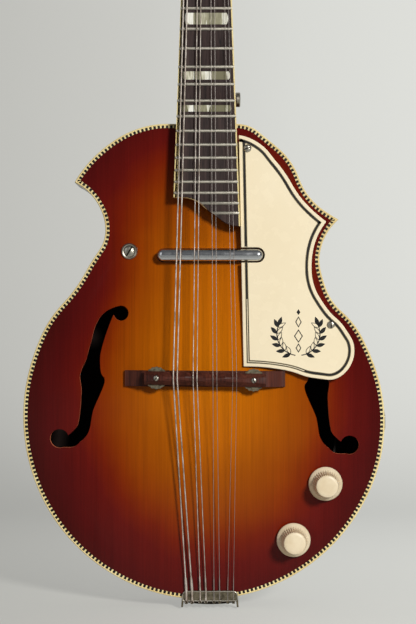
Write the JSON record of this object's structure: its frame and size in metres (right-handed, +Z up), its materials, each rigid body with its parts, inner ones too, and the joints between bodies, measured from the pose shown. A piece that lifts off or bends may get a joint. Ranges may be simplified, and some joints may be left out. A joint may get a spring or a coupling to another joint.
{
  "type": "electric mandolin",
  "caption": "Hollow-body electric mandolin with two pointed horns, an arched sunburst top, f-holes, a bar pickup, an adjustable bridge, a cream guard, geared tuners and turning knobs.",
  "frame": {"origin": "at the tail end of the body, on its centre line and in the plane where the top meets the rim", "axes": "+Z runs up the strings to the headstock, +X is to the treble side, and -Y is the front of the instrument"},
  "size_m": [0.2479, 0.0757, 0.647],
  "materials": {
    "spruce_top": "gloss lacquer, red to amber sunburst",
    "maple_body": "gloss lacquer, dark red brown",
    "neck_wood": "gloss lacquer",
    "rosewood": "oiled, satin",
    "inner_wood": "bare",
    "cream_binding": "gloss",
    "cream_guard": "gloss",
    "cream_knob": "gloss",
    "key_button": "gloss",
    "pearl": "pearl",
    "bone": "polished",
    "nickel": "polished",
    "fret_wire": "polished",
    "wound_wire": "wound",
    "plain_wire": "drawn",
    "coil_tape": "matt",
    "harness": "matt",
    "zinc_plate": "zinc plated"
  },
  "bodies": {
    "instrument": {"top_plate": "spruce_top", "back_plate": "maple_body", "rim": "maple_body", "front_binding": "cream_binding", "body_blocks": "inner_wood", "tone_bars": "inner_wood", "neck": "neck_wood", "fingerboard": "rosewood", "fingerboard_binding": "cream_binding", "frets": "fret_wire", "position_markers": "pearl", "nut": "bone", "tuner_housing_bass": "nickel", "tuner_housing_treble": "nickel", "wound_strings": "wound_wire", "plain_strings": "plain_wire", "bridge_base": "rosewood", "bridge_posts": "nickel", "pickup_cover": "nickel", "pickup_coil": "coil_tape", "pickup_bracket": "zinc_plate", "guard": "cream_guard", "guard_spacers": "inner_wood", "control_harness": "harness", "output_jack": "nickel", "tailpiece": "nickel", "strap_button": "nickel"},
    "saddle": {"bridge_saddle": "rosewood"},
    "bass_wheel": {"thumbwheel_bass": "nickel"},
    "treble_wheel": {"thumbwheel_treble": "nickel"},
    "volume": {"volume_knob": "cream_knob", "volume_shaft": "zinc_plate"},
    "tone": {"tone_knob": "cream_knob", "tone_shaft": "zinc_plate"},
    "key_1": {"tuner_key_1": "key_button"},
    "post_1": {"tuner_post_1": "nickel"},
    "key_2": {"tuner_key_2": "key_button"},
    "post_2": {"tuner_post_2": "nickel"},
    "key_3": {"tuner_key_3": "key_button"},
    "post_3": {"tuner_post_3": "nickel"},
    "key_4": {"tuner_key_4": "key_button"},
    "post_4": {"tuner_post_4": "nickel"},
    "key_5": {"tuner_key_5": "key_button"},
    "post_5": {"tuner_post_5": "nickel"},
    "key_6": {"tuner_key_6": "key_button"},
    "post_6": {"tuner_post_6": "nickel"},
    "key_7": {"tuner_key_7": "key_button"},
    "post_7": {"tuner_post_7": "nickel"},
    "key_8": {"tuner_key_8": "key_button"},
    "post_8": {"tuner_post_8": "nickel"}
  },
  "joints": [
    {"name": "key_1_turn", "type": "hinge", "parent": "instrument", "child": "key_1", "pos_m": [-0.0204, 0.0264, 0.5388], "axis": [-1, 0, 0], "continuous": true},
    {"name": "post_1_turn", "type": "hinge", "parent": "instrument", "child": "post_1", "pos_m": [-0.0144, 0.00691, 0.53663], "axis": [0, -0.9744, 0.225], "continuous": true},
    {"name": "key_2_turn", "type": "hinge", "parent": "instrument", "child": "key_2", "pos_m": [-0.0204, 0.03157, 0.56121], "axis": [-1, 0, 0], "continuous": true},
    {"name": "post_2_turn", "type": "hinge", "parent": "instrument", "child": "post_2", "pos_m": [-0.0144, 0.01209, 0.55904], "axis": [0, -0.9744, 0.225], "continuous": true},
    {"name": "key_3_turn", "type": "hinge", "parent": "instrument", "child": "key_3", "pos_m": [-0.0204, 0.03675, 0.58362], "axis": [-1, 0, 0], "continuous": true},
    {"name": "post_3_turn", "type": "hinge", "parent": "instrument", "child": "post_3", "pos_m": [-0.0144, 0.01726, 0.58145], "axis": [0, -0.9744, 0.225], "continuous": true},
    {"name": "key_4_turn", "type": "hinge", "parent": "instrument", "child": "key_4", "pos_m": [-0.0204, 0.04192, 0.60603], "axis": [-1, 0, 0], "continuous": true},
    {"name": "post_4_turn", "type": "hinge", "parent": "instrument", "child": "post_4", "pos_m": [-0.0144, 0.02243, 0.60386], "axis": [0, -0.9744, 0.225], "continuous": true},
    {"name": "key_5_turn", "type": "hinge", "parent": "instrument", "child": "key_5", "pos_m": [0.0236, 0.0264, 0.5388], "axis": [1, 0, 0], "continuous": true},
    {"name": "post_5_turn", "type": "hinge", "parent": "instrument", "child": "post_5", "pos_m": [0.0176, 0.00691, 0.53663], "axis": [0, -0.9744, 0.225], "continuous": true},
    {"name": "key_6_turn", "type": "hinge", "parent": "instrument", "child": "key_6", "pos_m": [0.0236, 0.03157, 0.56121], "axis": [1, 0, 0], "continuous": true},
    {"name": "post_6_turn", "type": "hinge", "parent": "instrument", "child": "post_6", "pos_m": [0.0176, 0.01209, 0.55904], "axis": [0, -0.9744, 0.225], "continuous": true},
    {"name": "key_7_turn", "type": "hinge", "parent": "instrument", "child": "key_7", "pos_m": [0.0236, 0.03675, 0.58362], "axis": [1, 0, 0], "continuous": true},
    {"name": "post_7_turn", "type": "hinge", "parent": "instrument", "child": "post_7", "pos_m": [0.0176, 0.01726, 0.58145], "axis": [0, -0.9744, 0.225], "continuous": true},
    {"name": "key_8_turn", "type": "hinge", "parent": "instrument", "child": "key_8", "pos_m": [0.0236, 0.04192, 0.60603], "axis": [1, 0, 0], "continuous": true},
    {"name": "post_8_turn", "type": "hinge", "parent": "instrument", "child": "post_8", "pos_m": [0.0176, 0.02243, 0.60386], "axis": [0, -0.9744, 0.225], "continuous": true},
    {"name": "volume_turn", "type": "hinge", "parent": "instrument", "child": "volume", "pos_m": [0.0822, -0.0032, 0.079], "axis": [0, -1, 0], "range_deg": [-150, 150]},
    {"name": "tone_turn", "type": "hinge", "parent": "instrument", "child": "tone", "pos_m": [0.0606, -0.0032, 0.041], "axis": [0, -1, 0], "range_deg": [-150, 150]},
    {"name": "saddle_height", "type": "slide", "parent": "instrument", "child": "saddle", "axis": [0, -1, 0], "range_m": [-0.0008, 0.0024], "deforming": ["wound_strings", "plain_strings"]},
    {"name": "bass_wheel_turn", "type": "hinge", "parent": "saddle", "child": "bass_wheel", "pos_m": [-0.03179, -0.0152, 0.15114], "axis": [0, -1, 0], "range_deg": [-360, 1080]},
    {"name": "treble_wheel_turn", "type": "hinge", "parent": "saddle", "child": "treble_wheel", "pos_m": [0.03319, -0.0152, 0.14966], "axis": [0, -1, 0], "range_deg": [-360, 1080]}
  ],
  "couplings": [
    {"joint": "bass_wheel_turn", "follows": "saddle_height", "rad_per_m": 7853.9},
    {"joint": "treble_wheel_turn", "follows": "saddle_height", "rad_per_m": 7853.9},
    {"joint": "post_1_turn", "follows": "key_1_turn", "ratio": -0.083333},
    {"joint": "post_2_turn", "follows": "key_2_turn", "ratio": -0.083333},
    {"joint": "post_3_turn", "follows": "key_3_turn", "ratio": -0.083333},
    {"joint": "post_4_turn", "follows": "key_4_turn", "ratio": -0.083333},
    {"joint": "post_5_turn", "follows": "key_5_turn", "ratio": 0.083333},
    {"joint": "post_6_turn", "follows": "key_6_turn", "ratio": 0.083333},
    {"joint": "post_7_turn", "follows": "key_7_turn", "ratio": 0.083333},
    {"joint": "post_8_turn", "follows": "key_8_turn", "ratio": 0.083333}
  ]
}
